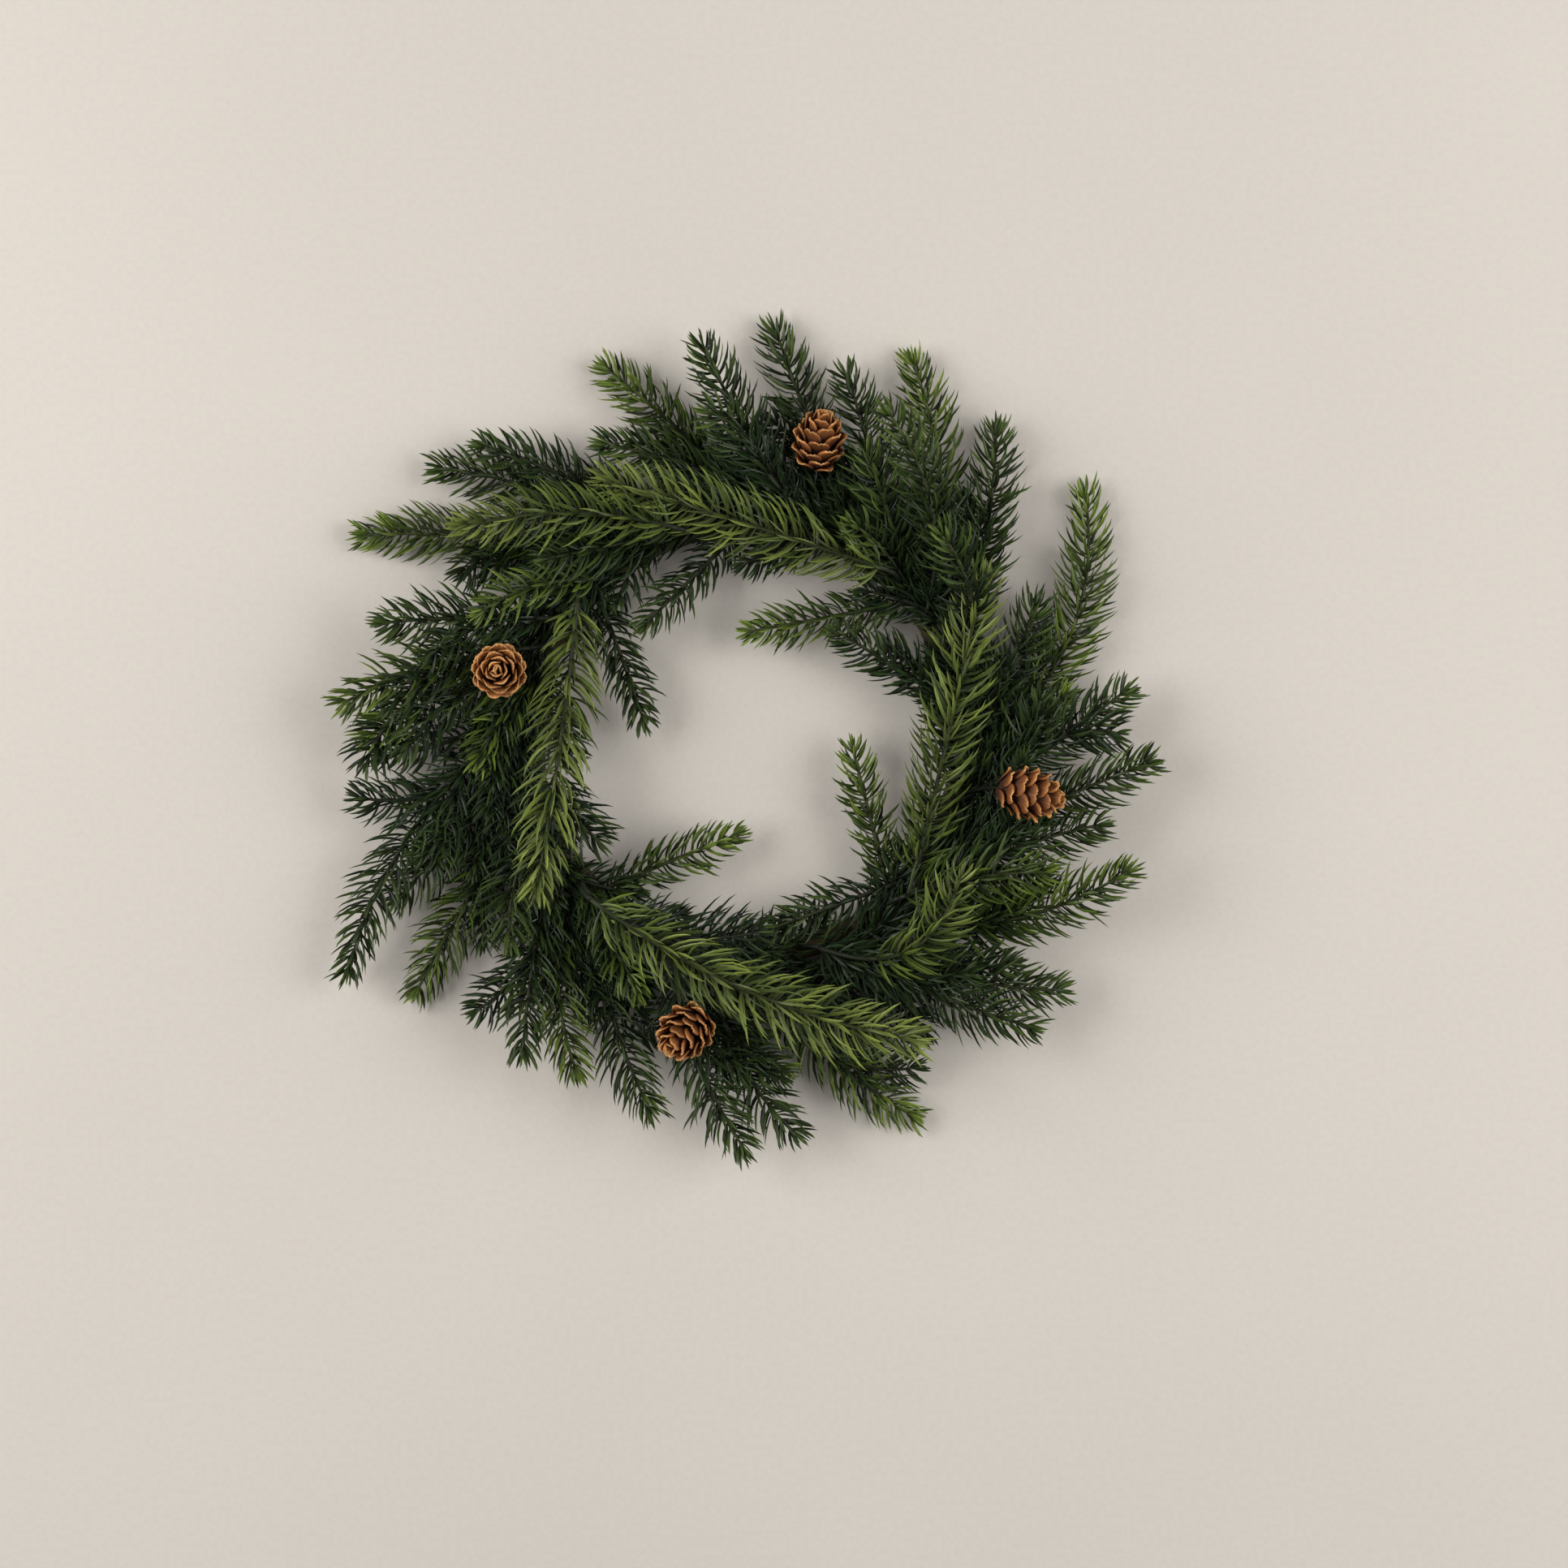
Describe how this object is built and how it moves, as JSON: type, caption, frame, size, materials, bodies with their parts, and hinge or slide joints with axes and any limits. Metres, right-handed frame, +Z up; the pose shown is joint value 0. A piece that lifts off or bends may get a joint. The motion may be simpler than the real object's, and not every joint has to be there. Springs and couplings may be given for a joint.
{
  "type": "spruce candle ring",
  "caption": "Flat artificial spruce ring for a pillar candle: green sprigs swirl anticlockwise round a taped wire hoop, with small brown cones among them.",
  "frame": {"origin": "middle of the ring's bounding box on the table plane it lies on", "axes": "+Z up out of the table, through the ring's open middle; +X to the right and +Y away, as seen from above with the long loose sprig at the upper right"},
  "size_m": [0.3262, 0.3312, 0.0508],
  "materials": {
    "needles_dark": "moulded, slightly waxy, deep blue-green",
    "needles_mid": "moulded, slightly waxy, mid green",
    "needles_light": "moulded, slightly waxy, yellow-green at the tips",
    "floral_tape": "waxed crepe tape, dark brown-green",
    "hoop_wire": "green enamel on steel wire",
    "cone_brown": "dry natural cone, paler scale edges"
  },
  "bodies": {
    "root": {"hoop": "hoop_wire", "tape_wrap_a": "floral_tape", "tape_wrap_b": "floral_tape", "cone_back": "cone_brown", "cone_left": "cone_brown", "cone_right": "cone_brown", "cone_front": "cone_brown", "sprig_low_01": "needles_dark", "sprig_low_02": "needles_dark", "sprig_low_03": "needles_dark", "sprig_low_04": "needles_dark", "sprig_low_05": "needles_mid", "sprig_low_06": "needles_dark", "sprig_low_07": "needles_dark", "sprig_low_08": "needles_mid", "sprig_low_09": "needles_dark", "sprig_low_10": "needles_mid", "sprig_low_11": "needles_mid", "sprig_low_12": "needles_light", "sprig_low_13": "needles_dark", "sprig_low_14": "needles_dark", "sprig_low_15": "needles_mid", "sprig_low_16": "needles_dark", "sprig_low_17": "needles_mid", "sprig_low_18": "needles_dark", "sprig_low_19": "needles_dark", "sprig_low_20": "needles_dark", "sprig_low_21": "needles_light", "sprig_low_22": "needles_mid", "sprig_low_23": "needles_dark", "sprig_low_24": "needles_dark", "sprig_low_25": "needles_mid", "sprig_low_26": "needles_dark", "sprig_low_27": "needles_mid", "sprig_low_28": "needles_dark", "sprig_low_29": "needles_light", "sprig_low_30": "needles_mid", "sprig_low_31": "needles_dark", "sprig_low_32": "needles_mid", "sprig_mid_01": "needles_dark", "sprig_mid_02": "needles_dark", "sprig_mid_03": "needles_mid", "sprig_mid_04": "needles_light", "sprig_mid_05": "needles_light", "sprig_mid_06": "needles_dark", "sprig_mid_07": "needles_dark", "sprig_mid_08": "needles_light", "sprig_mid_09": "needles_light", "sprig_mid_10": "needles_mid", "sprig_mid_11": "needles_light", "sprig_mid_12": "needles_mid", "sprig_mid_13": "needles_dark", "sprig_mid_14": "needles_mid", "sprig_mid_15": "needles_light", "sprig_top_01": "needles_light", "sprig_top_02": "needles_light", "sprig_top_03": "needles_light", "sprig_top_04": "needles_light", "sprig_top_05": "needles_light", "sprig_top_06": "needles_light"}
  },
  "joints": []
}
